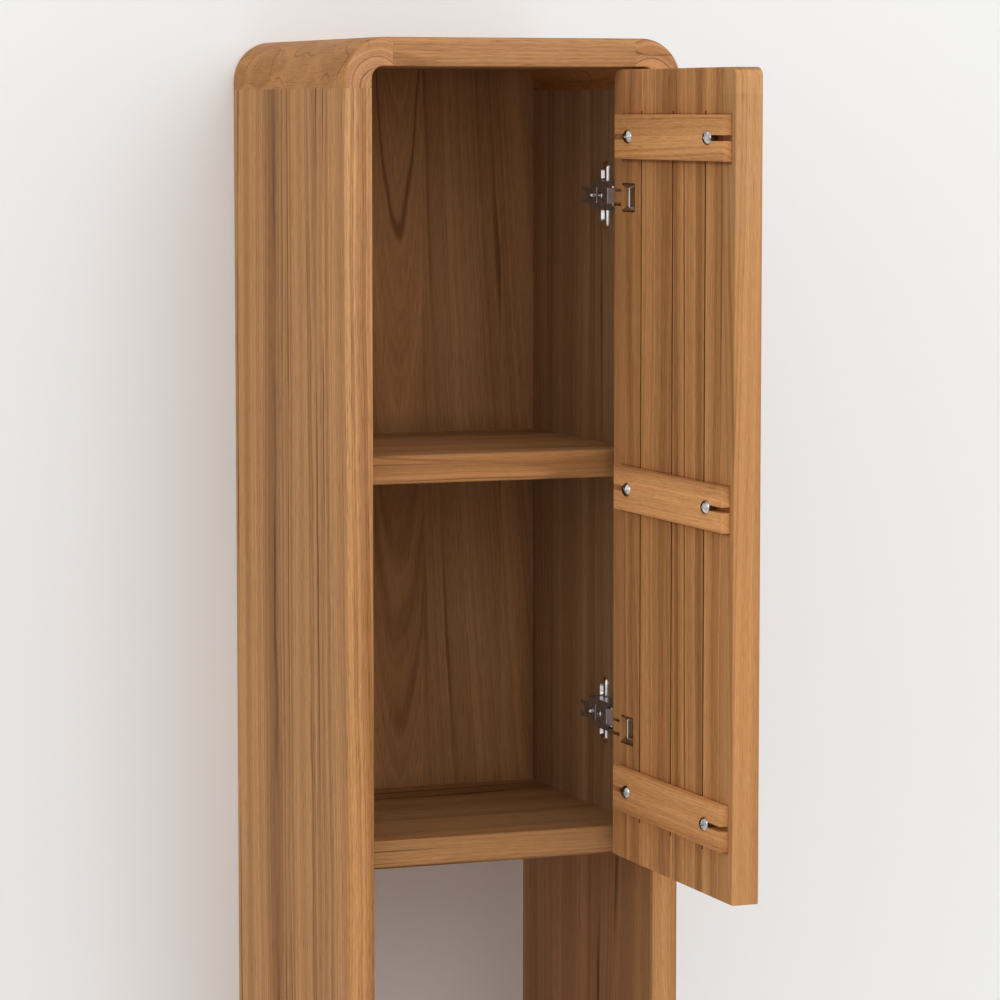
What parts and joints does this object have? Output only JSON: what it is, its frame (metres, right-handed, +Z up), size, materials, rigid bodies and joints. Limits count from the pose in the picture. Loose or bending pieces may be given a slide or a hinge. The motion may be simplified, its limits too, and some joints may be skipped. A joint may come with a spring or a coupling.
{
  "type": "wall cabinet",
  "caption": "Tall narrow teak bathroom wall cabinet with rounded corners, a shelf behind a right-hinged inset door and an open niche below.",
  "frame": {"origin": "on the wall, midway between the two keyholes by which the cabinet hangs", "axes": "+X to the right seen from the room, +Y into the wall, +Z up"},
  "size_m": [0.3, 0.536, 1],
  "materials": {
    "teak": "satin oiled",
    "teak_panel": "satin oiled",
    "dowel_wood": "plain",
    "hinge_chrome": "polished",
    "hinge_steel": "polished",
    "screw_chrome": "polished",
    "hanging_steel": "zinc plated"
  },
  "bodies": {
    "cabinet": {"left_side": "teak", "right_side": "teak", "top_board": "teak", "base_board": "teak", "upper_left_corner": "teak", "upper_right_corner": "teak", "lower_left_corner": "teak", "lower_right_corner": "teak", "cabinet_floor": "teak", "middle_shelf": "teak", "back_panel": "teak_panel", "corner_dowels": "dowel_wood", "floor_dowels": "dowel_wood", "shelf_dowels": "dowel_wood", "left_hanging_plate": "hanging_steel", "right_hanging_plate": "hanging_steel", "hanging_plate_screws": "hanging_steel", "upper_hinge_plate": "hinge_chrome", "lower_hinge_plate": "hinge_chrome", "upper_hinge_arm": "hinge_steel", "lower_hinge_arm": "hinge_steel", "plate_screws": "screw_chrome", "arm_screws": "screw_chrome", "arm_rivets": "screw_chrome", "hinge_pins": "hinge_steel"},
    "door": {"door_panel": "teak", "upper_batten": "teak", "middle_batten": "teak", "lower_batten": "teak", "batten_screws": "screw_chrome", "cup_screws": "screw_chrome", "upper_hinge_leaf": "hinge_steel", "lower_hinge_leaf": "hinge_steel", "upper_hinge_cup": "hinge_steel", "lower_hinge_cup": "hinge_steel", "cup_cross_pins": "screw_chrome"}
  },
  "joints": [
    {"name": "door_hinge", "type": "hinge", "parent": "cabinet", "child": "door", "pos_m": [0.1135, -0.2985, -0.2585], "axis": [0, 0, 1], "range_deg": [-90, 5]}
  ]
}
